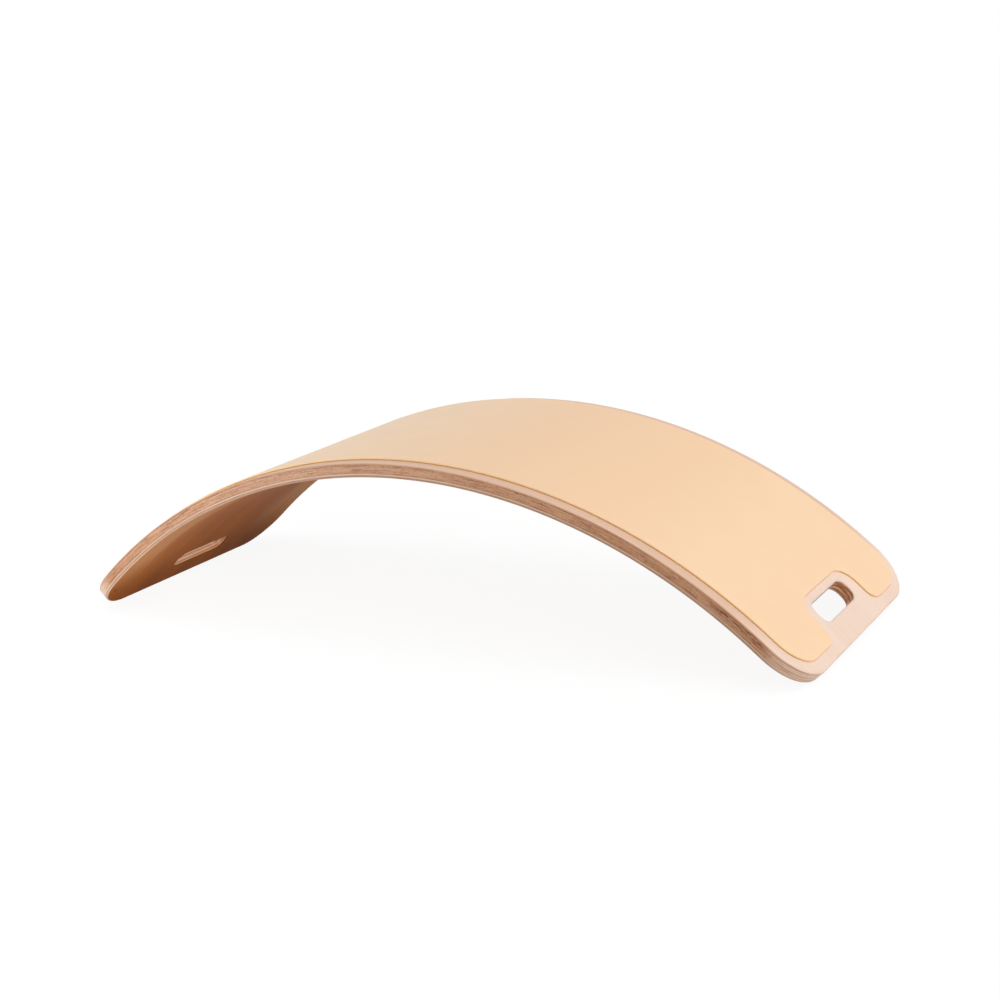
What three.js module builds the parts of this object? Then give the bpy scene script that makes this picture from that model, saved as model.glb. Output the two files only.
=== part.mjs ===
// Kids balance board: a bent plywood board, pressed from veneers, with a mat bonded on its convex face.
// Units are millimetres and +Z is up. +X runs along the board and +Y across it.
// The board stands as an arch. The origin is on the floor, under the middle of the crown.
//
// Every veneer is drawn flat first, as the blank is cut, and then bent. A flat place has three
// measures: s along the convex face from the crown, y across, and depth below the convex face.

import * as THREE from 'three';

// Plywood
const plyThickness = 1.27;
const plyCount = 11;
const bendRadius = 552.5;
const blankLength = 894.5;
const boardWidth = 300;
const boardCornerRadius = 46.5;
const edgeRounding = 2;

// Hand slots, one through each end
const slotWidth = 23;
const slotLength = 83;
const slotCornerRadius = 10;
const slotToBoardEnd = 26.7;

// Mat on the convex face, cut round the hand slots
const matThickness = 1.7;
const bondLine = 0.3;
const matSideMargin = 13;
const matEndMargin = 12.5;
const matCornerRadius = 33;
const matEdgeRounding = 0.8;
const notchPastSlotSide = 8.6;
const notchPastSlotEnd = 17;
const notchCornerRadius = 22;
const notchMouthRadius = 14;

// Facets
const bendFacetSag = 0.14;
const boardCornerSteps = 8;
const slotCornerSteps = 4;
const matCornerSteps = 6;
const roundingSteps = 4;
const closestStationShare = 0.02;
const ranks = { bend: 0, arc: 1, tip: 2, edge: 3 };

// Colours as seen in soft daylight
const finishes = {
  face: { color: 0xeedccf, roughness: 0.55 },
  long: { color: 0xd2ab8c, roughness: 0.6 },
  cross: { color: 0x9c7154, roughness: 0.75 },
  mat: { color: 0xfbdab2, roughness: 0.8 },
};

const laminateThickness = plyCount * plyThickness;
const boardEnd = blankLength / 2;

// An outline is given for its +X half. Its opening runs from start to stop along s. One without a
// stop runs out through the end, where its sides flare round a mouth.
const boardOutline = {
  end: boardEnd,
  halfWidth: boardWidth / 2,
  corner: boardCornerRadius,
  deepestDrawIn: edgeRounding,
  opening: {
    start: boardEnd - slotToBoardEnd - slotWidth,
    stop: boardEnd - slotToBoardEnd,
    halfLength: slotLength / 2,
    corner: slotCornerRadius,
    mouth: 0,
  },
};

const matOutline = {
  end: boardEnd - matEndMargin,
  halfWidth: boardWidth / 2 - matSideMargin,
  corner: matCornerRadius,
  deepestDrawIn: matEdgeRounding,
  opening: {
    start: boardOutline.opening.start - notchPastSlotSide,
    stop: Infinity,
    halfLength: slotLength / 2 + notchPastSlotEnd,
    corner: notchCornerRadius,
    mouth: notchMouthRadius,
  },
};

/** The outline drawn in by an amount all round, which widens its openings by as much. */
function drawnIn(outline, amount) {
  const { opening } = outline;
  return {
    end: outline.end - amount,
    halfWidth: outline.halfWidth - amount,
    corner: outline.corner - amount,
    opening: {
      start: opening.start - amount,
      stop: opening.stop + amount,
      halfLength: opening.halfLength + amount,
      corner: opening.corner + amount,
      mouth: opening.mouth - amount,
    },
  };
}

/** How far an arc has left the line it starts on, this far along that line from the start. */
function arcDrop(radius, pastCentre) {
  return radius - Math.sqrt(Math.max(0, radius ** 2 - pastCentre ** 2));
}

/** Half the outline's width at s. */
function halfWidthAt({ end, halfWidth, corner }, s) {
  const pastCentre = s - (end - corner);
  return pastCentre > 0 ? halfWidth - arcDrop(corner, pastCentre) : halfWidth;
}

/** Half the opening's length across the board at s. A mouth flares where the opening meets the end. */
function halfOpeningAt({ end, opening }, s) {
  const { start, stop, halfLength, corner, mouth } = opening;
  const beforeFirst = start + corner - s;
  if (beforeFirst > 0) return halfLength - arcDrop(corner, beforeFirst);
  const pastLast = s - (stop - corner);
  if (pastLast > 0) return halfLength - arcDrop(corner, pastLast);
  const intoMouth = s - (end - mouth);
  if (intoMouth > 0) return halfLength + arcDrop(mouth, intoMouth);
  return halfLength;
}

/**
 * The stations of half an outline: the values of s at which it gets vertices. Each moves by its
 * shift for every millimetre that the outline is drawn in. Where two would nearly meet, the one
 * of lower rank gives way, so that every depth has the same stations in the same order.
 */
function stationsOf(outline, cornerSteps, openingSteps) {
  const { end, corner, deepestDrawIn, opening } = outline;
  const stations = [];
  const bendSteps = Math.ceil(end / chordWithSag(bendRadius, bendFacetSag));
  for (let i = 0; i < bendSteps; i++) {
    stations.push({ s: (end * i) / bendSteps, shift: 0, rank: i === 0 ? ranks.tip : ranks.bend });
  }
  const addArc = (tip, radius, inward, shiftAtTip, steps, edge) => {
    for (let i = 0; i <= steps; i++) {
      const cos = Math.cos((Math.PI / 2) * (i / steps));
      const station = { s: tip + inward * radius * (1 - cos), shift: shiftAtTip * cos, rank: ranks.arc };
      if (i === 0) Object.assign(station, { edge, rank: edge ? ranks.edge : ranks.tip });
      stations.push(station);
    }
  };
  addArc(end, corner, -1, -1, cornerSteps, 'end');
  addArc(opening.start, opening.corner, 1, -1, openingSteps, 'start');
  if (opening.stop < end) addArc(opening.stop, opening.corner, -1, 1, openingSteps, 'stop');
  if (opening.mouth > 0) addArc(end, opening.mouth, -1, -1, openingSteps);
  stations.sort((a, b) => a.s - b.s || a.rank - b.rank);

  const closest = (closestStationShare * end) / bendSteps;
  const tooClose = (a, b) => {
    const apart = b.s - a.s;
    return Math.min(apart, apart + (b.shift - a.shift) * deepestDrawIn) < closest;
  };
  const kept = [];
  for (const station of stations) {
    while (kept.length && tooClose(kept.at(-1), station) && station.rank > kept.at(-1).rank) kept.pop();
    if (!kept.length || !tooClose(kept.at(-1), station)) kept.push(station);
  }
  return kept;
}

/** The chord that strays from its arc by this sag at its middle. */
function chordWithSag(radius, sag) {
  return 2 * Math.sqrt(radius ** 2 - (radius - sag) ** 2);
}

/** Bends a flat place round the press: the convex face keeps its length. */
function bent(s, y, depth) {
  const angle = s / bendRadius;
  const radius = bendRadius - depth;
  return new THREE.Vector3(radius * Math.sin(angle), y, radius * Math.cos(angle) - bendRadius);
}

/**
 * A bent plate, lofted through its levels. A level is a depth and how far the outline is drawn in
 * there. At each station a level has a row of vertices across the board: two at the sides, and
 * two more where an opening crosses the row.
 */
function bentPlate(outline, levels, cornerSteps, openingSteps) {
  const half = stationsOf(outline, cornerSteps, openingSteps);
  const last = half.length - 1;
  const first = half.findIndex((station) => station.edge === 'start');
  const stops = outline.opening.stop < outline.end;
  const stop = stops ? half.findIndex((station) => station.edge === 'stop') : last;

  const sides = [];
  for (let i = last; i > 0; i--) sides.push({ index: i, side: -1 });
  for (let i = 0; i <= last; i++) sides.push({ index: i, side: 1 });
  const crosses = ({ index }) => index >= first && index <= stop;
  const open = [];
  for (let j = 0; j + 1 < sides.length; j++) open.push(crosses(sides[j]) && crosses(sides[j + 1]));

  const points = [];
  const index = [];
  const vertex = (s, y, depth) => {
    points.push(bent(s, y, depth));
    return points.length - 1;
  };
  const triangle = (a, b, c) => index.push(a, b, c);
  const quad = (a, b, c, d) => {
    triangle(a, b, c);
    triangle(a, c, d);
  };

  const rows = levels.map(({ depth, drawIn }) => {
    const shape = drawnIn(outline, drawIn);
    return sides.map((place) => {
      const station = half[place.index];
      const s = station.s + station.shift * drawIn;
      const wide = halfWidthAt(shape, s);
      const ys = [-wide, wide];
      if (crosses(place)) {
        const gap = halfOpeningAt(shape, s);
        ys.splice(1, 0, -gap, gap);
      }
      return ys.map((y) => ({ y, id: vertex(place.side * s, y, depth) }));
    });
  });

  const cap = (level, facingOut) => {
    const face = (a, b, c) => (facingOut ? triangle(a.id, b.id, c.id) : triangle(a.id, c.id, b.id));
    const strip = (near, far) => {
      let i = 0;
      let k = 0;
      while (i + 1 < near.length || k + 1 < far.length) {
        const stepFar = i + 1 === near.length || (k + 1 < far.length && far[k + 1].y < near[i + 1].y);
        if (stepFar) face(near[i], far[k], far[++k]);
        else face(near[i], far[k], near[++i]);
      }
    };
    for (let j = 0; j + 1 < level.length; j++) {
      if (open[j]) {
        strip(level[j].slice(0, 2), level[j + 1].slice(0, 2));
        strip(level[j].slice(2), level[j + 1].slice(2));
      } else {
        strip(level[j], level[j + 1]);
      }
    }
  };

  const walls = (above, below) => {
    for (let j = 0; j < above.length; j++) {
      for (let k = 0; k + 1 < above[j].length; k++) {
        const inOpening = k === 1;
        const before = j > 0 && !(inOpening && open[j - 1]);
        const after = j + 1 < above.length && !(inOpening && open[j]);
        const [a, b, c, d] = [below[j][k].id, below[j][k + 1].id, above[j][k + 1].id, above[j][k].id];
        if (before && !after) quad(a, b, c, d);
        if (after && !before) quad(b, a, d, c);
      }
      if (j + 1 === above.length) continue;
      const along = (k, m, facingLeft) => {
        const [a, b, c, d] = [below[j][k].id, below[j + 1][m].id, above[j + 1][m].id, above[j][k].id];
        if (facingLeft) quad(a, b, c, d);
        else quad(b, a, d, c);
      };
      along(0, 0, true);
      along(above[j].length - 1, above[j + 1].length - 1, false);
      if (open[j]) {
        along(1, 1, false);
        along(2, 2, true);
      }
    }
  };

  cap(rows[0], true);
  for (let i = 0; i + 1 < rows.length; i++) walls(rows[i], rows[i + 1]);
  cap(rows.at(-1), false);

  const geometry = new THREE.BufferGeometry().setFromPoints(points);
  geometry.setIndex(index);
  geometry.computeVertexNormals();
  return geometry;
}

/** The depths from top to bottom, with extra ones round any rounding of the edge that they cross. */
function levelsBetween(top, bottom, faceDepth, backDepth, faceRounding, backRounding) {
  const depths = [top, bottom];
  for (let i = 1; i < roundingSteps; i++) {
    const drop = 1 - Math.cos((Math.PI / 2) * (i / roundingSteps));
    depths.push(faceDepth + faceRounding * drop, backDepth - backRounding * drop);
  }
  depths.push(faceDepth + faceRounding, backDepth - backRounding);
  const inside = depths.filter((depth) => depth >= top && depth <= bottom).sort((a, b) => a - b);
  const spread = inside.filter((depth, i) => i === 0 || depth > inside[i - 1]);
  return spread.map((depth) => {
    const underFace = Math.max(0, faceDepth + faceRounding - depth);
    const overBack = Math.max(0, depth - (backDepth - backRounding));
    return { depth, drawIn: arcDrop(faceRounding, underFace) + arcDrop(backRounding, overBack) };
  });
}

/** The name and finish of the veneer in this place, counted from the convex face. */
function veneerAt(place) {
  if (place === 1) return { name: 'face_veneer_top', finish: finishes.face };
  if (place === plyCount) return { name: 'face_veneer_bottom', finish: finishes.face };
  if (place % 2) return { name: `long_veneer_${place}`, finish: finishes.long };
  return { name: `cross_veneer_${place}`, finish: finishes.cross };
}

function namedMesh(name, geometry, { color, roughness }) {
  const mesh = new THREE.Mesh(geometry, new THREE.MeshStandardMaterial({ color, roughness, metalness: 0 }));
  mesh.name = name;
  return mesh;
}

/** One veneer of the pressed board. The router rounds both faces of the whole laminate. */
function veneer(place) {
  const top = (place - 1) * plyThickness;
  const bottom = place * plyThickness;
  const levels = levelsBetween(top, bottom, 0, laminateThickness, edgeRounding, edgeRounding);
  const { name, finish } = veneerAt(place);
  return namedMesh(name, bentPlate(boardOutline, levels, boardCornerSteps, slotCornerSteps), finish);
}

/** The mat, cut as one sheet with a notch at each end, its upper edge rounded and its lower sharp. */
function mat() {
  const face = -bondLine - matThickness;
  const levels = levelsBetween(face, -bondLine, face, -bondLine, matEdgeRounding, 0);
  return namedMesh('grip_mat', bentPlate(matOutline, levels, matCornerSteps, matCornerSteps), finishes.mat);
}

const board = new THREE.Group();
board.name = 'balance_board';
for (let place = 1; place <= plyCount; place++) board.add(veneer(place));
board.add(mat());
board.position.z = -new THREE.Box3().setFromObject(board).min.z;

export default board;
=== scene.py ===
"""The looks of a kids balance board: a bent plywood board with a thin mat on its convex face.

Every piece is modelled flat, as it is cut, and is then bent round the mould that the board was
pressed on. A flat place has three measures: s along the board from the crown, y across it, and
depth below the convex face of the plywood. Each vertex keeps its flat place as the attribute
"flat", and the way that its wall faces on the flat sheet as the attribute "facing", so that the
grain follows the bend. Lengths are in metres.
"""

import logging
import math
from dataclasses import dataclass, replace
from enum import Enum
from typing import Iterable, Union

import bmesh
import bpy
from mathutils import Matrix, Vector


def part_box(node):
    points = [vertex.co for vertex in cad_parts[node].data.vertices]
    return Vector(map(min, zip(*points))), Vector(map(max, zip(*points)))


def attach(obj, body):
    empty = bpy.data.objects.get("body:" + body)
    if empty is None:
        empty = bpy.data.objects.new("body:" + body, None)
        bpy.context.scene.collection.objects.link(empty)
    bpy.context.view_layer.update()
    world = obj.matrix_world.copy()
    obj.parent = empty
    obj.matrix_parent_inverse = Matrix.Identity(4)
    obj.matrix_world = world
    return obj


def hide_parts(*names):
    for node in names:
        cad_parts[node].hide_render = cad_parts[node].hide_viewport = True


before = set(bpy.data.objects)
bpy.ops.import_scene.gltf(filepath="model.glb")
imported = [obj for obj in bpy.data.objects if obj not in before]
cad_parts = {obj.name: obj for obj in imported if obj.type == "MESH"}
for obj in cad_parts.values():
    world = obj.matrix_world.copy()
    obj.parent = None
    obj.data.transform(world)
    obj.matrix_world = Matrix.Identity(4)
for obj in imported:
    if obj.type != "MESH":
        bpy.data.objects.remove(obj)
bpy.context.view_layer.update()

BODY = "root"
FLAT = "flat"
FACING = "facing"
LEVEL = 1e-6  # two places closer than this are the same
log = logging.getLogger("balance_board")

Color = tuple[float, float, float, float]
WHITE = (1.0, 1.0, 1.0, 1.0)
FULL = 255  # the largest share of a colour on a screen
TOE_END, TOE_SLOPE = 0.04045, 12.92  # the straight start of a screen's curve
CURVE_SHIFT, CURVE_POWER = 0.055, 2.4  # the rest of the curve


def tone(red: int, green: int, blue: int) -> Color:
    """Turns a colour as a screen shows it, 0 to 255, into the light that it stands for.

    Args:
        red: The red share, 0 to 255.
        green: The green share, 0 to 255.
        blue: The blue share, 0 to 255.

    Returns:
        The colour in linear light, with full opacity.
    """
    def linear(value: int) -> float:
        """Undoes the screen's curve for one share."""
        share = value / FULL
        if share <= TOE_END:
            return share / TOE_SLOPE
        return ((share + CURVE_SHIFT) / (1 + CURVE_SHIFT)) ** CURVE_POWER

    return (linear(red), linear(green), linear(blue), 1.0)


# Flat pieces and the bend


@dataclass(frozen=True)
class Corner:
    """One corner of a flat outline, and the radius that it is cut to."""

    s: float
    y: float
    radius: float = 0.0
    steps: int = 1


@dataclass(frozen=True)
class Opening:
    """An opening on the centre line, the same at both ends of a sheet.

    Without a stop it runs out through the end of the sheet, and its sides flare round a mouth.
    """

    start: float
    half_length: float
    radius: float
    steps: int
    stop: float | None = None
    mouth_radius: float = 0.0


@dataclass(frozen=True)
class Sheet:
    """A flat sheet whose outline is alike in all four quarters."""

    half_length: float
    half_width: float
    corner_radius: float
    corner_steps: int
    opening: Opening

    def corners(self) -> list[Corner]:
        """Lists the corners of one quarter, from the crown out to the end and back.

        Returns:
            The corners in order round the quarter.
        """
        hole = self.opening
        outer = Corner(self.half_length, self.half_width, self.corner_radius, self.corner_steps)
        start = [Corner(0, 0), Corner(hole.start, 0),
                 Corner(hole.start, hole.half_length, hole.radius, hole.steps)]
        if hole.stop is None:
            mouth = Corner(self.half_length, hole.half_length, hole.mouth_radius, hole.steps)
            return [*start, mouth, outer, Corner(0, self.half_width)]
        return [*start, Corner(hole.stop, hole.half_length, hole.radius, hole.steps),
                Corner(hole.stop, 0), Corner(self.half_length, 0), outer, Corner(0, self.half_width)]

    def cut(self) -> bmesh.types.BMesh:
        """Cuts the sheet out: one quarter with its rounded corners, mirrored twice.

        Returns:
            The sheet as four flat faces that meet on its centre lines, at depth zero.
        """
        bm = bmesh.new()
        corners = self.corners()
        verts = [bm.verts.new((corner.s, corner.y, 0)) for corner in corners]
        bm.faces.new(verts)
        for corner, vert in zip(corners, verts):
            if corner.radius:
                bmesh.ops.bevel(bm, geom=[vert], offset=corner.radius, segments=corner.steps,
                                profile=0.5, affect="VERTICES", clamp_overlap=False, material=-1)
        for axis in ("Y", "X"):
            bmesh.ops.mirror(bm, geom=[*bm.verts, *bm.edges, *bm.faces], axis=axis,
                             matrix=Matrix.Identity(4), merge_dist=LEVEL)
        bmesh.ops.recalc_face_normals(bm, faces=bm.faces)
        return bm


@dataclass(frozen=True)
class Slab:
    """A sheet with a thickness and rounded arrises, which hasn't been bent yet."""

    sheet: Sheet
    top: float
    bottom: float
    rounding: float
    rounding_steps: int
    ease_bottom: bool
    margin: float

    def build(self) -> bmesh.types.BMesh:
        """Gives the sheet its thickness, rounds its arrises and lays a narrow margin inside them.

        Returns:
            The closed slab, its convex face up.
        """
        bm = self.sheet.cut()
        bmesh.ops.translate(bm, verts=bm.verts, vec=(0, 0, -self.top))
        grown = bmesh.ops.extrude_face_region(bm, geom=bm.faces[:])
        lower = [item for item in grown["geom"] if isinstance(item, bmesh.types.BMVert)]
        bmesh.ops.translate(bm, verts=lower, vec=(0, 0, self.top - self.bottom))
        bmesh.ops.recalc_face_normals(bm, faces=bm.faces)
        levels = [self.top, self.bottom] if self.ease_bottom else [self.top]
        arrises = [edge for level in levels for edge in self.arris(bm, level)]
        bmesh.ops.bevel(bm, geom=arrises, offset=self.rounding, segments=self.rounding_steps,
                        profile=0.5, affect="EDGES", clamp_overlap=False, material=-1)
        for level in levels:
            faces = [face for face in bm.faces if self.lies_at(face, level)]
            bmesh.ops.inset_region(bm, faces=faces, thickness=self.margin,
                                   use_even_offset=True, use_boundary=True)
        return bm

    @staticmethod
    def lies_at(face: bmesh.types.BMFace, level: float) -> bool:
        """Says whether a face lies flat at a depth."""
        return all(abs(vert.co.z + level) < LEVEL for vert in face.verts)

    def arris(self, bm: bmesh.types.BMesh, level: float) -> list[bmesh.types.BMEdge]:
        """Finds the edges where the face at a depth meets the walls.

        Args:
            bm: The slab.
            level: The depth of the face.

        Returns:
            The edges that have the face on one side only.
        """
        return [edge for edge in bm.edges
                if sum(self.lies_at(face, level) for face in edge.link_faces) == 1]


def close_cut(bm: bmesh.types.BMesh, cut: Iterable[bmesh.types.BMEdge]) -> None:
    """Closes a level cut with two faces that meet on the centre line.

    Args:
        bm: The slab that was cut.
        cut: The open edges that the cut left, with a vertex wherever they cross the centre line.
    """
    edges = list(cut)
    crossings = {vert for edge in edges for vert in edge.verts if abs(vert.co.y) < LEVEL}
    line = sorted(crossings, key=lambda vert: vert.co.x)
    seams = [bm.edges.new(pair) for pair in zip(line[::2], line[1::2])]
    for side in (1, -1):
        half = [edge for edge in edges if side * sum(vert.co.y for vert in edge.verts) > 0]
        bmesh.ops.contextual_create(bm, geom=[*half, *seams])


def slice_layer(slab: bmesh.types.BMesh, top: float | None, bottom: float | None,
                same: float) -> bmesh.types.BMesh:
    """Keeps one layer of a slab.

    Args:
        slab: The whole slab, which stays as it is.
        top: The depth of the upper cut, or None to keep the slab's own face.
        bottom: The depth of the lower cut, or None to keep the slab's own face.
        same: Vertices this close to a cut lie on it.

    Returns:
        The layer as a closed body.
    """
    bm = slab.copy()
    for depth, up in ((top, True), (bottom, False)):
        if depth is None:
            continue
        found = bmesh.ops.bisect_plane(
            bm, geom=[*bm.verts, *bm.edges, *bm.faces], dist=same, plane_co=(0, 0, -depth),
            plane_no=(0, 0, 1), clear_outer=up, clear_inner=not up)
        close_cut(bm, [item for item in found["geom_cut"] if isinstance(item, bmesh.types.BMEdge)])
    bmesh.ops.recalc_face_normals(bm, faces=bm.faces)
    return bm


@dataclass(frozen=True)
class Mould:
    """The cylinder that the board is pressed on.

    Attributes:
        crown: The height of the plywood's convex face at the crown.
        radius: The radius of that face.
        station: The spacing of the straight lines across a piece, where it is allowed to bend.
        same: Vertices this close to a line lie on it.
        sharpest: An edge that turns more than this stays sharp, in degrees.
    """

    crown: float
    radius: float = 0.5525
    station: float = 0.006
    same: float = 0.0003
    sharpest: float = 30.0

    def bend(self, bm: bmesh.types.BMesh) -> None:
        """Scores a flat piece across, keeps its flat places and bends it round the mould.

        Args:
            bm: The flat piece, which is changed.
        """
        reach = max(vert.co.x for vert in bm.verts)
        count = int(reach / self.station)
        for number in range(-count, count + 1):
            bmesh.ops.bisect_plane(bm, geom=[*bm.verts, *bm.edges, *bm.faces], dist=self.same,
                                   plane_co=(number * self.station, 0, 0), plane_no=(1, 0, 0))
        flat = bm.verts.layers.float_vector.new(FLAT)
        facing = bm.verts.layers.float_vector.new(FACING)
        bm.normal_update()
        for vert in bm.verts:
            s, y, height = vert.co
            vert[flat] = (s, y, -height)
            vert[facing] = vert.normal.xy.normalized().to_3d()
            angle, out = s / self.radius, self.radius + height
            vert.co = (out * math.sin(angle), y, out * math.cos(angle) - self.radius + self.crown)
        bmesh.ops.recalc_face_normals(bm, faces=bm.faces)

    def piece(self, name: str, bm: bmesh.types.BMesh) -> bpy.types.Object:
        """Bends a flat piece and makes it an object of the scene.

        Args:
            name: The piece's name.
            bm: The flat piece, which is used up.

        Returns:
            The object, at the origin, smooth but for its sharp edges.
        """
        self.bend(bm)
        for face in bm.faces:
            face.smooth = True
        sharpest = math.radians(self.sharpest)
        for edge in bm.edges:
            edge.smooth = edge.calc_face_angle(math.pi) < sharpest
        mesh = bpy.data.meshes.new(name)
        bm.to_mesh(mesh)
        bm.free()
        piece = bpy.data.objects.new(name, mesh)
        bpy.context.scene.collection.objects.link(piece)
        return piece


# Patterns and finishes


class Field:
    """A value that changes over a surface. Sums of fields are written as plain expressions."""

    def __init__(self, recipe: "Recipe", socket: bpy.types.NodeSocket) -> None:
        """Wraps the output of one of a recipe's nodes."""
        self.recipe = recipe
        self.socket = socket

    def math(self, operation: str, first: "Number", second: "Number" = 0.0) -> "Field":
        """Adds the node that works out one step of an expression.

        Args:
            operation: The name of the step.
            first: The first value.
            second: The second value, where the step takes one.

        Returns:
            The result of the step.
        """
        values = {"Value": first, "Value_001": second}
        return self.recipe.node("Math", values, operation=operation)

    def __add__(self, other: "Number") -> "Field":
        """Adds."""
        return self.math("ADD", self, other)

    def __radd__(self, other: "Number") -> "Field":
        """Adds to a plain number."""
        return self.math("ADD", other, self)

    def __sub__(self, other: "Number") -> "Field":
        """Subtracts."""
        return self.math("SUBTRACT", self, other)

    def __rsub__(self, other: "Number") -> "Field":
        """Subtracts from a plain number."""
        return self.math("SUBTRACT", other, self)

    def __mul__(self, other: "Number") -> "Field":
        """Multiplies."""
        return self.math("MULTIPLY", self, other)

    def __rmul__(self, other: "Number") -> "Field":
        """Multiplies a plain number."""
        return self.math("MULTIPLY", other, self)

    def __truediv__(self, other: "Number") -> "Field":
        """Divides."""
        return self.math("DIVIDE", self, other)

    def __pow__(self, other: "Number") -> "Field":
        """Raises to a power."""
        return self.math("POWER", self, other)

    def __abs__(self) -> "Field":
        """Drops the sign."""
        return self.math("ABSOLUTE", self)

    def least(self, other: "Number") -> "Field":
        """Takes the smaller of two values."""
        return self.math("MINIMUM", self, other)

    def most(self, other: "Number") -> "Field":
        """Takes the larger of two values."""
        return self.math("MAXIMUM", self, other)

    def mix(self, first: "Feed", second: "Feed") -> "Field":
        """Mixes two colours.

        Args:
            first: The colour that shows where this field is 0.
            second: The colour that shows where it is 1.

        Returns:
            The mixed colour.
        """
        colors = {"Factor_Float": self, "A_Color": first, "B_Color": second}
        return self.recipe.node("Mix", colors, "Result_Color", data_type="RGBA")


Number = Union[Field, float]
Feed = Union[Field, float, tuple]


def feed(target: bpy.types.NodeSocket, value: Feed) -> None:
    """Gives a socket a link or a plain value.

    Args:
        target: The socket.
        value: A field to link, or a value to set.
    """
    if isinstance(value, Field):
        target.id_data.links.new(value.socket, target)
    else:
        target.default_value = value


def blend(weights: tuple[float, ...], *fields: Field) -> Field:
    """Adds up fields, each with its weight."""
    first, *others = [field * weight for field, weight in zip(fields, weights)]
    return sum(others, first)


class Recipe:
    """The nodes of one material, or of the world, mixed into its output."""

    def __init__(self, owner: Union[bpy.types.Material, bpy.types.World]) -> None:
        """Starts with nothing but the output."""
        owner.use_nodes = True
        self.tree = owner.node_tree
        self.tree.nodes.clear()
        kind = "World" if isinstance(owner, bpy.types.World) else "Material"
        self.output = self.tree.nodes.new("ShaderNodeOutput" + kind)

    def node(self, kind: str, inputs: dict[str, Feed], output: str = "",
             **settings: object) -> Field:
        """Adds one node.

        Args:
            kind: The node's type, without its prefix.
            inputs: What each of its sockets gets, by the socket's identifier.
            output: The identifier of the output that is wanted, or nothing for the first.
            settings: The node's own settings, which are set first.

        Returns:
            The wanted output.
        """
        node = self.tree.nodes.new("ShaderNode" + kind)
        for name, value in settings.items():
            setattr(node, name, value)
        sockets = {socket.identifier: socket for socket in node.inputs}
        for name, value in inputs.items():
            feed(sockets[name], value)
        outputs = {socket.identifier: socket for socket in node.outputs}
        return Field(self, outputs[output] if output else node.outputs[0])

    def finish(self, surface: Field) -> None:
        """Sends the mixed surface to the output."""
        feed(self.output.inputs["Surface"], surface)

    def kept(self, name: str) -> Field:
        """Reads one of the vectors that each vertex keeps."""
        return self.node("Attribute", {}, "Vector", attribute_name=name)

    def parts(self, vector: Field) -> tuple[Field, Field, Field]:
        """Takes a vector apart.

        Args:
            vector: The vector.

        Returns:
            Its three parts.
        """
        first = self.node("SeparateXYZ", {"Vector": vector})
        return tuple(Field(self, output) for output in first.socket.node.outputs)

    def relief(self, height: Field, step: float, strength: float) -> Field:
        """Gives the surface a relief.

        Args:
            height: The relief, from 0 to 1.
            step: The height of a whole step.
            strength: How much of it shows.

        Returns:
            The way the surface faces.
        """
        return self.node("Bump", {"Height": height, "Distance": step, "Strength": strength})

    def seen_by_eye(self) -> Field:
        """Tells rays that reach the eye straight, or through gloss or glass, from the rest."""
        straight, gloss, glass = [self.node("LightPath", {}, name) for name in
                                  ("Is Camera Ray", "Is Glossy Ray", "Is Transmission Ray")]
        return straight.most(gloss).most(glass)


class Grain(Enum):
    """The way the fibres of a veneer lie on the board."""

    ALONG = "along"
    ACROSS = "across"


@dataclass(frozen=True)
class Rise:
    """A mask that rises, or fades, smoothly with a value.

    Attributes:
        start: The value at which it starts to rise.
        end: The value at which it has risen. It may be the lower of the two.
        share: How much of the mask shows at most.
    """

    start: float
    end: float
    share: float = 1.0

    def risen(self, value: Field) -> Field:
        """Rises smoothly from 0 to 1 between the two values."""
        limits = {"Value": value, "From Min": self.start, "From Max": self.end}
        return value.recipe.node("MapRange", limits, interpolation_type="SMOOTHSTEP")

    def of(self, value: Field) -> Field:
        """Says how much shows of a mask that rises with a value."""
        return self.risen(value) * self.share

    def falls(self, value: Field) -> Field:
        """Says how much shows of a mask that fades with a value."""
        return (1 - self.risen(value)) * self.share


@dataclass(frozen=True)
class Pattern:
    """A cloudy pattern.

    Attributes:
        along: How many features it has in a metre along the fibres.
        across: The same across the fibres.
        through: The same through the thickness of the board.
        detail: How many finer layers it has.
        roughness: How strong they are.
        shift: How far it is moved, so that no two patterns are alike.
    """

    along: float
    across: float
    through: float
    detail: float = 2.0
    roughness: float = 0.5
    shift: float = 0.0

    def lay(self, place: Field, shift: float = 0.0, grain: Grain = Grain.ALONG) -> Field:
        """Lays the pattern over a surface.

        Args:
            place: The flat place.
            shift: How far the patterns of this piece are moved.
            grain: The way the pattern lies.

        Returns:
            The pattern, around a half.
        """
        scales = (self.along, self.across, self.through)
        if grain is Grain.ACROSS:
            scales = (self.across, self.along, self.through)
        scaled = {"Vector": place, "Vector_001": scales, "Vector_002": (self.shift + shift,) * 3}
        where = place.recipe.node("VectorMath", scaled, operation="MULTIPLY_ADD")
        return place.recipe.node("TexNoise", {"Vector": where, "Scale": 1.0, "Detail": self.detail,
                                              "Roughness": self.roughness})


def shaded(color: Color, level: float) -> Color:
    """Makes a colour lighter or darker."""
    return (*(min(1.0, share * level) for share in color[:3]), 1.0)


@dataclass(frozen=True)
class Tones:
    """The colours of one cut of the wood.

    Attributes:
        pale: The wood between the fibres.
        dark: The fibres.
        painted_lighting: A tone painted at the long sides of a face, at the corners of the cut
        edge, and on the long walls of a hand slot. It is painted shade on the top face, and
        painted light on the bottom face, the corners and the slot walls.
    """

    pale: Color
    dark: Color
    painted_lighting: Color

    def shaded(self, level: float, painted_lighting_level: float) -> "Tones":
        """Makes the tones lighter or darker.

        Args:
            level: The level of the wood.
            painted_lighting_level: The level of its tone of painted light and shade.

        Returns:
            The new tones.
        """
        return replace(self, pale=shaded(self.pale, level), dark=shaded(self.dark, level),
                       painted_lighting=shaded(self.painted_lighting, painted_lighting_level))


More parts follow.
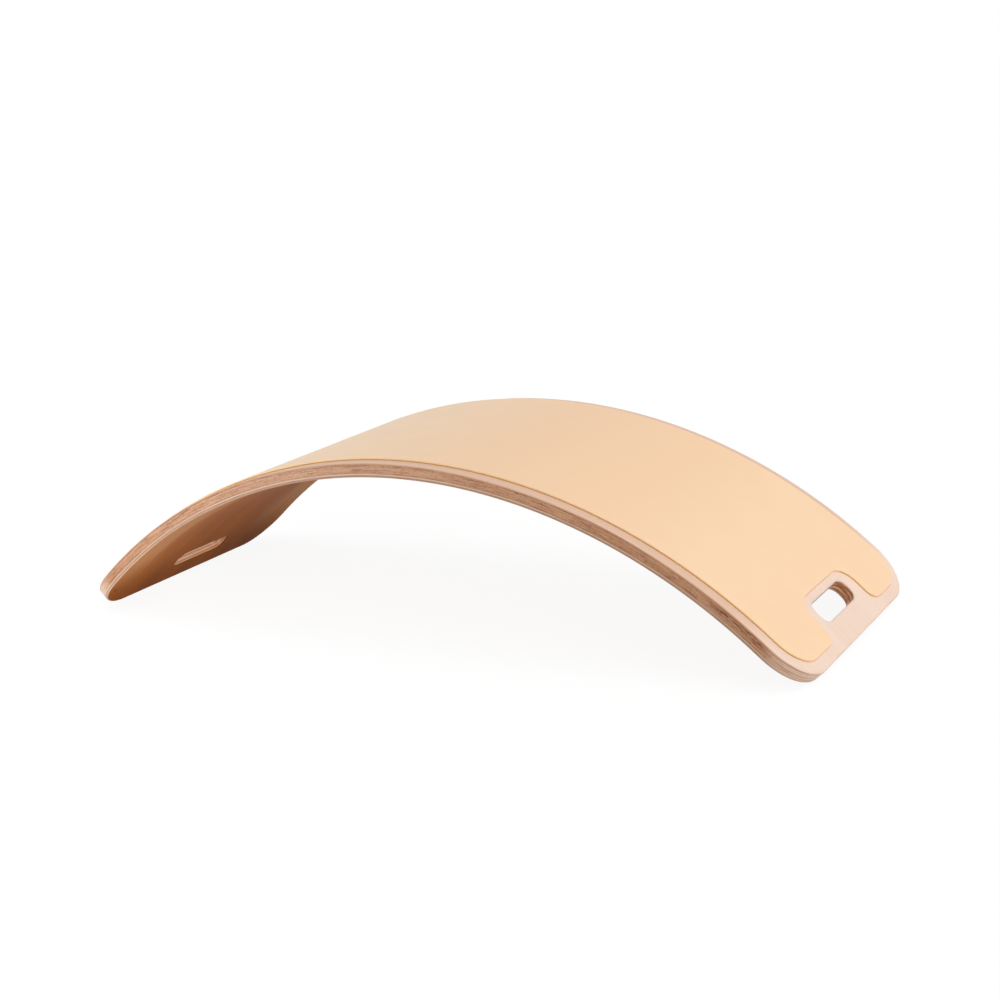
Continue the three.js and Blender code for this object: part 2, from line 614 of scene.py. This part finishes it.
@dataclass(frozen=True)
class EdgeTones(Tones):
    """The colours of a cut edge, with the colour of its open pores and glue lines."""

    pore: Color


@dataclass(frozen=True)
class Mark:
    """A spot on the near edge of the board where dark checks crowd together."""

    s: float
    depth: float
    half_length: float
    half_height: float


@dataclass(frozen=True)
class Knot:
    """A pin knot in a face."""

    s: float
    y: float
    radius: float


@dataclass(frozen=True)
class Look:
    """What sets the outside of the board apart from its inside.

    Attributes:
        turn: Where the face's tones give way to the edge's, in shares of the rounding.
        darkens: Where the face gets darker along the board. On the inside it darkens towards the
        tips as painted shade near the floor.
        roughness: How dull the surface is.
        gloss: How strongly it mirrors.
    """

    turn: Rise
    darkens: Rise
    roughness: float
    gloss: float


@dataclass(frozen=True)
class Spot:
    """What is known of a spot on the surface of a veneer.

    Attributes:
        place: Its flat place.
        s: How far it lies along the board.
        y: How far it lies across it.
        depth: How deep it lies.
        to_end: 1 on walls that face the ends of the board.
        cut_across: 1 on walls that cut across the fibres.
        by_slot: 1 on the walls and arrises of the hand slots.
        fibres: The pattern of the fibres.
        rings: The pattern of the growth rings.
        areas: The pattern of paler and darker areas.
    """

    place: Field
    s: Field
    y: Field
    depth: Field
    to_end: Field
    cut_across: Field
    by_slot: Field
    fibres: Field
    rings: Field
    areas: Field


@dataclass(frozen=True)
class WoodFinish:
    """Sanded and oiled veneer, with tones of their own for its face, cut edges and slot walls.

    Attributes:
        name: The material's name.
        grain: The way its fibres lie.
        face: The tones of its face.
        edge: The tones of its cut edges.
        wall: The tones of the walls of the hand slots.
        look: What sets its side of the board apart.
        seams: The depths of the glue lines that bound it.
        marks: The marks on its near edge.
        knots: The pin knots in its face.
        thickness: The thickness of the board.
        rounding: The radius of its arrises.
        shift: Moves the patterns, so that no two veneers are alike.
    """

    name: str
    grain: Grain
    face: Tones
    edge: EdgeTones
    wall: Tones
    look: Look
    seams: tuple[float, ...]
    marks: tuple[Mark, ...]
    knots: tuple[Knot, ...]
    thickness: float
    rounding: float
    shift: float

    def material(self) -> bpy.types.Material:
        """Mixes the finish.

        Returns:
            The material.
        """
        material = bpy.data.materials.new(self.name)
        mixer = Recipe(material)
        spot = self.spot(mixer)
        reach = spot.depth.least(self.thickness - spot.depth) / self.rounding
        lies = self.look.turn.falls(reach - spot.by_slot * SLOT_REACH)
        color = lies.mix(self.edge_color(spot), self.face_color(spot))
        turned = spot.depth / self.rounding
        # The end-facing arrises of the hand slots get a pale tone as painted light, where they turn
        # away from the lamps.
        painted_arris_light = ARRIS_LIGHT_FROM.of(turned) * ARRIS_LIGHT_TO.falls(turned) * spot.by_slot * spot.to_end
        mixer.finish(mixer.node("BsdfPrincipled", {
            "Base Color": (painted_arris_light * ARRIS_LIGHT_SHARE).mix(color, ARRIS_PAINTED_LIGHT),
            "Roughness": self.look.roughness, "Specular IOR Level": self.look.gloss,
            "IOR": OIL_IOR, "Normal": mixer.relief(spot.fibres, FIBRE_HEIGHT, FIBRE_RELIEF)}))
        return material

    def spot(self, mixer: Recipe) -> Spot:
        """Works out what the other methods need to know of a spot.

        Args:
            mixer: The material's nodes.

        Returns:
            What is known of the spot.
        """
        place = mixer.kept(FLAT)
        s, y, depth = mixer.parts(place)
        along, across, _ = mixer.parts(mixer.kept(FACING))
        over_fibres = along if self.grain is Grain.ALONG else across
        by_slot = SLOT_STARTS.of(abs(s)) * SLOT_STOPS.falls(abs(s)) * SLOT_SIDES.falls(abs(y))
        fibres, rings, areas = [pattern.lay(place, self.shift, self.grain)
                                for pattern in (FIBRES, RINGS, AREAS)]
        return Spot(place, s, y, depth, FACES_END.of(abs(along)), CUTS_ACROSS.of(abs(over_fibres)),
                    by_slot, fibres, rings, areas)

    def face_color(self, spot: Spot) -> Field:
        """Mixes the colour of the face, whose middle, ends and long sides differ.

        Args:
            spot: The spot on the surface.

        Returns:
            The colour.
        """
        figure = blend(FACE_WEIGHTS, spot.fibres, spot.rings, spot.areas)
        # On the inside, the darkening towards the tips is painted shade near the floor.
        share = FACE_FIGURE.of(figure) + self.look.darkens.of(abs(spot.s))
        color = share.mix(self.face.pale, self.face.dark)
        # The long sides, away from the ends, get painted shade on the top face and painted light on
        # the bottom face.
        painted_lighting = FACE_PAINTED_LIGHTING.of(abs(spot.y) + (figure - MIDDLE) * PAINTED_LIGHTING_WANDERS)
        color = (painted_lighting * PAINTED_LIGHTING_ENDS.falls(abs(spot.s))).mix(color, self.face.painted_lighting)
        for knot in self.knots:
            far = ((spot.s - knot.s) / knot.radius) ** 2.0 + ((spot.y - knot.y) / knot.radius) ** 2.0
            color = KNOT_FADES.falls(far).mix(color, MARK_TONE)
        return color

    def edge_color(self, spot: Spot) -> Field:
        """Mixes the colour of the cut edges, with their corners, slot walls, pores and checks.

        Args:
            spot: The spot on the surface.

        Returns:
            The colour.
        """
        patches = PATCHES.lay(spot.place, self.shift)
        specks = SPECKS.lay(spot.place, self.shift)
        side = EDGE_FIGURE.of(blend(EDGE_WEIGHTS, spot.fibres, spot.rings, spot.areas))
        end = EDGE_FIGURE.of(blend(END_WEIGHTS, specks, patches))
        color = spot.cut_across.mix(side.mix(self.edge.dark, self.edge.pale),
                                    end.mix(self.edge.dark, self.edge.pale))
        # The corners at both ends are paled with painted light.
        corner = CORNER.of(abs(spot.s))
        color = (corner * CORNER_LIGHT_SHARE).mix(color, self.edge.painted_lighting)
        stripes = STRIPES_SHOW.of(STRIPES.lay(spot.place, self.shift))
        color = (stripes * corner).mix(color, self.edge.dark)
        color = spot.by_slot.mix(color, self.wall_color(spot, patches))
        return self.opened(spot, color, corner)

    def wall_color(self, spot: Spot, patches: Field) -> Field:
        """Mixes the colour of the routed walls of the hand slots.

        Args:
            spot: The spot on the surface.
            patches: The pattern of the patches on cut ends.

        Returns:
            The colour.
        """
        blotches = BLOTCHES.lay(spot.place, self.shift)
        color = WALL_FIGURE.of(blend(WALL_WEIGHTS, blotches, patches)).mix(self.wall.dark,
                                                                           self.wall.pale)
        # The long walls are paled with painted light.
        return (spot.to_end * LONG_WALL_LIGHT_SHARE).mix(color, self.wall.painted_lighting)

    def opened(self, spot: Spot, color: Field, corner: Field) -> Field:
        """Args:
            spot: The spot on the surface.
            color: The colour of the edge.
            corner: 1 at the corners of the board, where few pores show.

        Returns:
            The new colour.
        """
        dashes = DASHES.lay(spot.place, self.shift)
        checks = CHECKS.lay(spot.place, self.shift)
        rough = (1 - corner * CORNER_CLOSED) * PORES_START.of(spot.depth)
        rough = rough * (1 - PORES_STOP.of(spot.depth))
        for pores in (DASHES_SHOW.of(dashes), CHECKS_SHOW.of(checks)):
            color = (pores * rough).mix(color, self.edge.pore)
        for seam in self.seams:
            line = SEAM_FADES.falls(abs(spot.depth - seam)) * (corner * SEAM_AT_CORNER + SEAM_SHARE)
            color = line.mix(color, self.edge.pore)
        if not self.marks:
            return color
        splits = SPLITS.lay(spot.place, self.shift)
        crossed = SPLITS_SHOW.of(blend(SPLIT_WEIGHTS, splits, dashes)) * NEAR_SIDE.falls(spot.y)
        for mark in self.marks:
            far = ((spot.s - mark.s) / mark.half_length) ** 2.0
            deep = ((spot.depth - mark.depth) / mark.half_height) ** 2.0
            color = (crossed * CROWD_FADES.falls(far + deep)).mix(color, MARK_TONE)
        return color


@dataclass(frozen=True)
class MatFinish:
    """Thin foam rubber, cut with a clean wall and stuck down.

    Attributes:
        name: The material's name.
        thickness: Its thickness, with the glue.
        face: The colour of its face.
        cloud: The colour of the faint clouds on it.
        painted_shade: The colour of a faintly warmer, darker stretch beyond the crown: painted
        shade, where the mat catches less sheen.
        wall: The colour of its cut wall along the long sides: a painted highlight, bright where
        the light comes through and catches the wall.
        glue: The colour of its foot along the long sides, where the glue has soaked in, with
        painted shade added where the wall meets the plywood.
        roughness: How dull it is.
        sheen: How strongly its fine cells catch the light, and how widely they spread it.
        refraction: The refractive index of its skin.
    """

    name: str
    thickness: float
    face: Color = tone(252, 217, 179)
    cloud: Color = tone(250, 215, 176)
    painted_shade: Color = tone(249, 210, 171)
    wall: Color = tone(253, 222, 166)
    glue: Color = tone(200, 152, 98)
    roughness: float = 0.85
    sheen: tuple[float, float] = (0.3, 0.4)
    refraction: float = 1.4

    def material(self) -> bpy.types.Material:
        """Mixes the finish.

        Returns:
            The material.
        """
        material = bpy.data.materials.new(self.name)
        mixer = Recipe(material)
        place = mixer.kept(FLAT)
        s, _, depth = mixer.parts(place)
        clouds, cells = MAT_CLOUDS.lay(place), MAT_CELLS.lay(place)
        color = MOTTLE.of(blend(MOTTLE_WEIGHTS, clouds, cells)).mix(self.cloud, self.face)
        # A warmer, darker stretch beyond the crown is painted shade, where the mat catches less
        # sheen.
        color = PAINTED_SHADE_FADES.falls(abs(s - PAINTED_SHADE_MIDDLE)).mix(color, self.painted_shade)
        along_side = SIDE_WALL.of(abs(mixer.parts(mixer.kept(FACING))[1]))
        # The long cut walls get a painted highlight.
        color = (MAT_WALL_HIGHLIGHT.of(depth + self.thickness) * along_side).mix(color, self.wall)
        # Their foot gets glue and painted shade.
        color = (GLUE_AND_SHADE_FADES.falls(0 - depth) * along_side).mix(color, self.glue)
        weight, spread = self.sheen
        mixer.finish(mixer.node("BsdfPrincipled", {
            "Base Color": color, "Roughness": self.roughness, "IOR": self.refraction,
            "Sheen Weight": weight, "Sheen Roughness": spread,
            "Normal": mixer.relief(cells, CELL_HEIGHT, CELL_RELIEF)}))
        return material


# The looks of the wood. A pattern has so many features in a metre along and across the fibres and
# through the board. A mask rises or fades between two places in metres, two levels of a pattern,
# two shares of the rounding or of a facing, or, round knots and marks, two shares of their area.

FIBRES = Pattern(16, 1900, 1900, 3)
RINGS = Pattern(6, 240, 900, 3, 0.6)
AREAS = Pattern(5, 24, 60)
FACE_WEIGHTS = (0.2, 0.35, 0.45)  # of the fibres, the rings and the areas
EDGE_WEIGHTS = (0.35, 0.4, 0.25)
MIDDLE = 0.5  # the middle of every pattern
FIBRE_HEIGHT, FIBRE_RELIEF = 0.00008, 0.25
OIL_IOR = 1.45

FACE_FIGURE = Rise(0.36, 0.64, 0.4)
FACE_PAINTED_LIGHTING = Rise(0.06, 0.140, 0.9)  # from the centre line out to the long sides, where painted light and shade show
PAINTED_LIGHTING_ENDS = Rise(0.34, 0.43)
PAINTED_LIGHTING_WANDERS = 0.25  # how far the figure pushes the painted light and shade about
KNOT_FADES = Rise(0.3, 1.0, 0.8)

FACES_END = Rise(0.6, 0.95)
CUTS_ACROSS = Rise(0.3, 0.9)
EDGE_FIGURE = Rise(0.36, 0.62)
SPECKS = Pattern(1500, 1500, 1500, 3, 0.6)
PATCHES = Pattern(40, 40, 500, 3, 0.6)
END_WEIGHTS = (0.5, 0.5)  # of the specks and the patches
CORNER = Rise(0.395, 0.425)  # along the board
CORNER_LIGHT_SHARE, CORNER_CLOSED = 0.95, 0.75  # how much painted light pales the corners, and how few pores they show
CORNER_CONTRAST = 0.6  # how much the veneers differ there
STRIPES = Pattern(12, 12, 850, 1, shift=4.0)
STRIPES_SHOW = Rise(0.5, 0.6, 0.55)

SLOT_STARTS = Rise(0.380, 0.388)
SLOT_STOPS = Rise(0.4285, 0.4325)
SLOT_SIDES = Rise(0.046, 0.054)
SLOT_REACH = 0.5  # how much further the face's tones reach round a slot's arris
# Painted light on the end-facing arris of a hand slot, in shares of the rounding.
ARRIS_LIGHT_FROM, ARRIS_LIGHT_TO, ARRIS_LIGHT_SHARE = Rise(0.1, 0.5), Rise(1.0, 1.3), 0.85
BLOTCHES = Pattern(90, 45, 240)
WALL_WEIGHTS = (0.6, 0.4)  # of the blotches and the patches
WALL_FIGURE = Rise(0.4, 0.6)
# How much painted light pales the long walls of a hand slot.
LONG_WALL_LIGHT_SHARE = 0.75

DASHES = Pattern(45, 45, 1100, 2, 0.6, 3.0)
DASHES_SHOW = Rise(0.565, 0.645, 0.7)
CHECKS = Pattern(240, 240, 900, 2, 0.6, 5.0)
CHECKS_SHOW = Rise(0.56, 0.63, 0.55)
PORES_START = Rise(0.0012, 0.0020)  # down through the board
PORES_STOP = Rise(0.0090, 0.0102, 0.8)
SEAM_FADES = Rise(0.00003, 0.00016)  # away from a glue line
SEAM_SHARE, SEAM_AT_CORNER = 0.5, 0.25
SPLITS = Pattern(70, 70, 1150, 1, shift=2.0)
SPLIT_WEIGHTS = (0.7, 0.3)  # of the splits and the dashes
SPLITS_SHOW = Rise(0.515, 0.555, 0.95)
CROWD_FADES = Rise(0.2, 1.0)
NEAR_SIDE = Rise(-0.149, -0.140)  # from the near edge inwards

# Each set's last tone is painted: shade along the top face's long sides, light along the bottom
# face's long sides, at the edge's corners and on the slots' long walls.
TOP_FACE = Tones(tone(242, 217, 200), tone(228, 196, 173), tone(222, 184, 158))
# The underside's wood is darker and more orange than the top face: painted shade of the hollow under
# the arch.
BOTTOM_FACE_WITH_PAINTED_SHADE = Tones(tone(210, 128, 36), tone(160, 90, 8), tone(240, 186, 130))
EDGE = EdgeTones(tone(220, 175, 139), tone(182, 130, 96), tone(255, 230, 211), tone(124, 66, 34))
PALE_EDGE = EdgeTones(tone(240, 207, 182), tone(212, 174, 148), tone(255, 230, 211),
                      tone(118, 70, 44))
SLOT_WALL = Tones(tone(250, 202, 164), tone(196, 126, 78), tone(236, 184, 150))
MARK_TONE = tone(110, 54, 18)
# A near-white tone painted as light on the end-facing arrises of the hand slots.
ARRIS_PAINTED_LIGHT = tone(255, 246, 238)
OUTSIDE = Look(Rise(0.10, 0.28), Rise(0.42, 0.24, 0.6), roughness=0.42, gloss=0.5)
# The inside's face darkens towards its tips as painted shade near the floor.
INSIDE = Look(Rise(0.015, 0.14), Rise(0.36, 0.445, 0.6), roughness=0.45, gloss=0.015)

# The looks of the mat, in the same way.

MAT_CLOUDS = Pattern(16, 22, 22, 4, 0.6)
MAT_CELLS = Pattern(1800, 1800, 1800, 2, 0.6)
MOTTLE_WEIGHTS = (0.7, 0.3)  # of the clouds and the cells
MOTTLE = Rise(0.38, 0.62)
# Painted shade: a warmer, darker stretch where the mat catches less sheen.
PAINTED_SHADE_MIDDLE = 0.14
PAINTED_SHADE_FADES = Rise(0.05, 0.18, 0.9)  # away from that middle, along the board
SIDE_WALL = Rise(0.35, 0.8)
MAT_WALL_HIGHLIGHT = Rise(0.0001, 0.0005)  # a painted highlight, down from the face
GLUE_AND_SHADE_FADES = Rise(0.0007, 0.0010)  # glue and painted shade, up from the plywood
CELL_HEIGHT, CELL_RELIEF = 0.0001, 0.3


# The board


@dataclass(frozen=True)
class Ply:
    """One sheet of wood in the board.

    Attributes:
        node: The solid that it stands for. Its first word is the kind of veneer.
        edge_level: How light its cut edge is beside the others.
        wall_level: How light it is in the walls of the hand slots.
    """

    node: str
    edge_level: float
    wall_level: float

    def kind(self) -> str:
        """Says whether it is a face, a long or a cross veneer."""
        return self.node.split("_")[0]

    def grain(self) -> Grain:
        """Says which way its fibres lie."""
        return Grain.ACROSS if self.kind() == "cross" else Grain.ALONG


@dataclass
class Board:
    """The plywood: eleven veneers pressed to one arc, with a hand slot through each end."""

    mould: Mould
    ply_thickness: float = 0.00127
    half_length: float = 0.44725
    half_width: float = 0.150
    corner_radius: float = 0.0465
    corner_steps: int = 18
    slot_start: float = 0.39755
    slot_stop: float = 0.42055
    slot_half_length: float = 0.0415
    slot_radius: float = 0.010
    slot_steps: int = 10
    rounding: float = 0.002
    rounding_steps: int = 8
    margin: float = 0.0005
    same: float = 0.00005
    pattern_shift: float = 7.0
    pale_plies: int = 3
    plies: tuple[Ply, ...] = (
        Ply("face_veneer_top", 0.96, 1.05), Ply("cross_veneer_2", 0.80, 1.00),
        Ply("long_veneer_3", 1.02, 0.55), Ply("cross_veneer_4", 0.97, 1.00),
        Ply("long_veneer_5", 1.03, 1.05), Ply("cross_veneer_6", 1.00, 0.50),
        Ply("long_veneer_7", 1.00, 0.95), Ply("cross_veneer_8", 0.84, 1.10),
        Ply("long_veneer_9", 0.96, 0.55), Ply("cross_veneer_10", 0.56, 0.95),
        Ply("face_veneer_bottom", 1.00, 1.10),
    )
    marks: tuple[Mark, ...] = (
        Mark(0.358, 0.0040, 0.018, 0.0026), Mark(0.380, 0.0052, 0.030, 0.0048),
        Mark(0.244, 0.0096, 0.006, 0.0006), Mark(-0.173, 0.0096, 0.005, 0.0005),
        Mark(-0.197, 0.0014, 0.006, 0.0005), Mark(-0.060, 0.0016, 0.020, 0.0004),
        Mark(-0.022, 0.0020, 0.016, 0.0004),
    )
    knots: tuple[Knot, ...] = (Knot(-0.4152, -0.1371, 0.0026),)

    def slab(self) -> bmesh.types.BMesh:
        """Builds the whole thickness of the board, flat.

        Returns:
            The slab.
        """
        slot = Opening(self.slot_start, self.slot_half_length, self.slot_radius, self.slot_steps,
                       self.slot_stop)
        sheet = Sheet(self.half_length, self.half_width, self.corner_radius, self.corner_steps, slot)
        return Slab(sheet, 0, self.thickness(), self.rounding, self.rounding_steps, True,
                    self.margin).build()

    def build(self) -> list[bpy.types.Object]:
        """Slices the slab into its veneers and bends and dresses each one.

        Returns:
            The pieces, from the convex face down.
        """
        slab = self.slab()
        last = len(self.plies) - 1
        made = []
        for number, ply in enumerate(self.plies):
            top = number * self.ply_thickness if number else None
            bottom = (number + 1) * self.ply_thickness if number < last else None
            layer = slice_layer(slab, top, bottom, self.same)
            piece = self.mould.piece(f"{ply.node}_sanded", layer)
            self.dress(piece, ply, number)
            made.append(piece)
        slab.free()
        return made

    def dress(self, piece: bpy.types.Object, ply: Ply, number: int) -> None:
        """Gives a veneer its wood.

        Args:
            piece: The piece.
            ply: The sheet of wood that it is.
            number: Its place in the stack.
        """
        top, bottom = number * self.ply_thickness, (number + 1) * self.ply_thickness
        seams = tuple(seam for seam in (top, bottom) if 0 < seam < self.thickness() - LEVEL)
        marks = tuple(mark for mark in self.marks
                      if mark.depth + mark.half_height > top
                      and mark.depth - mark.half_height < bottom)
        last = len(self.plies) - 1
        inside = number == last
        wood = PALE_EDGE if number > last - self.pale_plies else EDGE
        finish = WoodFinish(
            name=piece.name, grain=ply.grain(), face=BOTTOM_FACE_WITH_PAINTED_SHADE if inside else TOP_FACE,
            edge=wood.shaded(ply.edge_level, 1 + CORNER_CONTRAST * (ply.edge_level - 1)),
            wall=SLOT_WALL.shaded(ply.wall_level, ply.wall_level),
            look=INSIDE if inside else OUTSIDE, seams=seams, marks=marks,
            knots=self.knots if inside else (), thickness=self.thickness(),
            rounding=self.rounding, shift=self.pattern_shift * (number + 1))
        piece.data.materials.append(finish.material())
        seat(piece, ply.node)

    def thickness(self) -> float:
        """Adds up the veneers."""
        return self.ply_thickness * len(self.plies)


@dataclass
class Mat:
    """The thin mat on the convex face, cut away round the hand slots."""

    mould: Mould
    thickness: float = 0.002
    half_length: float = 0.43475
    half_width: float = 0.137
    corner_radius: float = 0.033
    corner_steps: int = 16
    notch_start: float = 0.38895
    notch_half_length: float = 0.0585
    notch_radius: float = 0.022
    mouth_radius: float = 0.014
    notch_steps: int = 12
    rounding: float = 0.0003
    rounding_steps: int = 4
    margin: float = 0.0005

    def build(self) -> bpy.types.Object:
        """Builds, bends and dresses the mat.

        Returns:
            The piece.
        """
        notch = Opening(self.notch_start, self.notch_half_length, self.notch_radius,
                        self.notch_steps, mouth_radius=self.mouth_radius)
        sheet = Sheet(self.half_length, self.half_width, self.corner_radius, self.corner_steps,
                      notch)
        slab = Slab(sheet, -self.thickness, 0, self.rounding, self.rounding_steps, False,
                    self.margin)
        piece = self.mould.piece("grip_mat_foam", slab.build())
        self.dress(piece)
        return piece

    def dress(self, piece: bpy.types.Object) -> None:
        """Gives the mat its rubber."""
        piece.data.materials.append(MatFinish(piece.name, self.thickness).material())
        seat(piece, "grip_mat")


def seat(piece: bpy.types.Object, node: str) -> None:
    """Lets a piece ride on the object and stand for its plain solid.

    Args:
        piece: The finished piece.
        node: The solid that it stands for.
    """
    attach(piece, BODY)
    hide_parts(node)


# The studio


@dataclass(frozen=True)
class Lamp:
    """A soft square lamp that looks at one spot of the object."""

    name: str
    place: tuple[float, float, float]
    aim: tuple[float, float, float]
    size: float
    power: float


@dataclass(frozen=True)
class Sky:
    """A far, wide and soft lamp that lights everything evenly.

    Attributes:
        name: The lamp's name.
        heading: Where it stands, in degrees from +X towards +Y.
        height: How high it stands, in degrees.
        spread: How wide it looks, in degrees.
        strength: How much light it gives.
    """

    name: str
    heading: float
    height: float
    spread: float
    strength: float

    def toward(self) -> Vector:
        """Points from the object to the lamp."""
        heading, height = math.radians(self.heading), math.radians(self.height)
        level = math.cos(height)
        return Vector((level * math.cos(heading), level * math.sin(heading), math.sin(height)))


@dataclass
class Studio:
    """A pale floor without an end, soft lamps and the camera."""

    floor_half: float = 40.0
    floor_drop: float = 0.0002
    floor_glow: float = 0.92
    floor_share: float = 0.10
    floor_bounce: Color = tone(205, 185, 165)
    world_level: float = 0.4
    camera_place: tuple[float, float, float] = (0.839498, -1.370141, 0.516665)
    camera_heading: float = 30.541
    camera_tilt: float = 75.607
    camera_roll: float = -4.493
    camera_lens: float = 59.432
    camera_reach: float = 200.0
    sensor: float = 36.0
    sky_distance: float = 3.0
    skies: tuple[Sky, ...] = (
        Sky("key_sky", -25.0, 18.0, 25.0, 1.05),
        Sky("top_sky", -10.0, 70.0, 40.0, 1.15),
    )
    lamps: tuple[Lamp, ...] = (
        Lamp("left_lamp", (-0.45, -0.60, 0.12), (-0.25, -0.15, 0.09), 0.3, 1.3),
    )

    def build(self) -> None:
        """Sets up the floor, the light and the camera."""
        self.lay_floor()
        self.light_world()
        for sky in self.skies:
            self.raise_sky(sky)
        for lamp in self.lamps:
            self.hang(lamp)
        self.place_camera()
        bpy.context.scene.view_settings.view_transform = "Standard"

    def lay_floor(self) -> None:
        """Lays the floor, which is white to the eye but keeps the object's shadow."""
        bm = bmesh.new()
        bmesh.ops.create_grid(bm, x_segments=1, y_segments=1, size=self.floor_half)
        bmesh.ops.translate(bm, verts=bm.verts, vec=(0, 0, -self.floor_drop))
        mesh = bpy.data.meshes.new("studio_floor")
        bm.to_mesh(mesh)
        bm.free()
        floor = bpy.data.objects.new("studio_floor", mesh)
        bpy.context.scene.collection.objects.link(floor)
        mesh.materials.append(self.floor_material())

    def floor_material(self) -> bpy.types.Material:
        """Mixes the floor's white with the light that falls on it.

        Returns:
            The material.
        """
        material = bpy.data.materials.new("studio_floor")
        mixer = Recipe(material)
        glow = mixer.node("Emission", {"Color": WHITE, "Strength": self.floor_glow})
        lit = mixer.node("BsdfDiffuse", {"Color": shaded(WHITE, self.floor_share)})
        bounce = mixer.node("BsdfDiffuse", {"Color": self.floor_bounce})
        pale = mixer.node("AddShader", {"Shader": glow, "Shader_001": lit})
        mixer.finish(mixer.node("MixShader", {"Fac": mixer.seen_by_eye(), "Shader": bounce,
                                              "Shader_001": pale}))
        return material

    def light_world(self) -> None:
        """Makes the world white to the eye and an even, weaker light to the object."""
        world = bpy.data.worlds.new("studio_world")
        bpy.context.scene.world = world
        mixer = Recipe(world)
        dome = mixer.node("Background", {"Color": WHITE, "Strength": self.world_level})
        backdrop = mixer.node("Background", {"Color": WHITE, "Strength": 1.0})
        mixer.finish(mixer.node("MixShader", {"Fac": mixer.seen_by_eye(), "Shader": dome,
                                              "Shader_001": backdrop}))

    def hang(self, lamp: Lamp) -> None:
        """Hangs a lamp and turns it to the object."""
        data = bpy.data.lights.new(lamp.name, "AREA")
        data.size = lamp.size
        data.energy = lamp.power
        self.stand(data, Vector(lamp.place), Vector(lamp.aim) - Vector(lamp.place))

    def raise_sky(self, sky: Sky) -> None:
        """Puts up a far lamp."""
        data = bpy.data.lights.new(sky.name, "SUN")
        data.angle = math.radians(sky.spread)
        data.energy = sky.strength
        self.stand(data, sky.toward() * self.sky_distance, -sky.toward())

    @staticmethod
    def stand(data: bpy.types.Light, place: Vector, way: Vector) -> None:
        """Puts a lamp in its place.

        Args:
            data: The lamp.
            place: Where it stands.
            way: The way it shines.
        """
        lamp = bpy.data.objects.new(data.name, data)
        lamp.location = place
        lamp.rotation_euler = way.to_track_quat("-Z", "Y").to_euler()
        lamp.visible_camera = False
        bpy.context.scene.collection.objects.link(lamp)

    def place_camera(self) -> None:
        """Stands the camera where the photograph was taken from."""
        data = bpy.data.cameras.new("camera")
        data.lens = self.camera_lens
        data.sensor_width = self.sensor
        data.clip_end = self.camera_reach
        camera = bpy.data.objects.new("camera", data)
        heading = Matrix.Rotation(math.radians(self.camera_heading), 4, "Z")
        tilt = Matrix.Rotation(math.radians(self.camera_tilt), 4, "X")
        roll = Matrix.Rotation(math.radians(self.camera_roll), 4, "Z")
        camera.matrix_world = Matrix.Translation(self.camera_place) @ heading @ tilt @ roll
        bpy.context.scene.collection.objects.link(camera)
        bpy.context.scene.camera = camera


def main() -> None:
    """Builds the studio, the board and the mat, in that order."""
    logging.basicConfig(level=logging.INFO, format="%(name)s: %(message)s")
    Studio().build()
    mould = Mould(crown=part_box("face_veneer_top")[1].z)
    for piece in Board(mould).build():
        log.info("%s: %d faces", piece.name, len(piece.data.polygons))
    mat = Mat(mould).build()
    log.info("%s: %d faces", mat.name, len(mat.data.polygons))


if __name__ == "__main__":
    main()
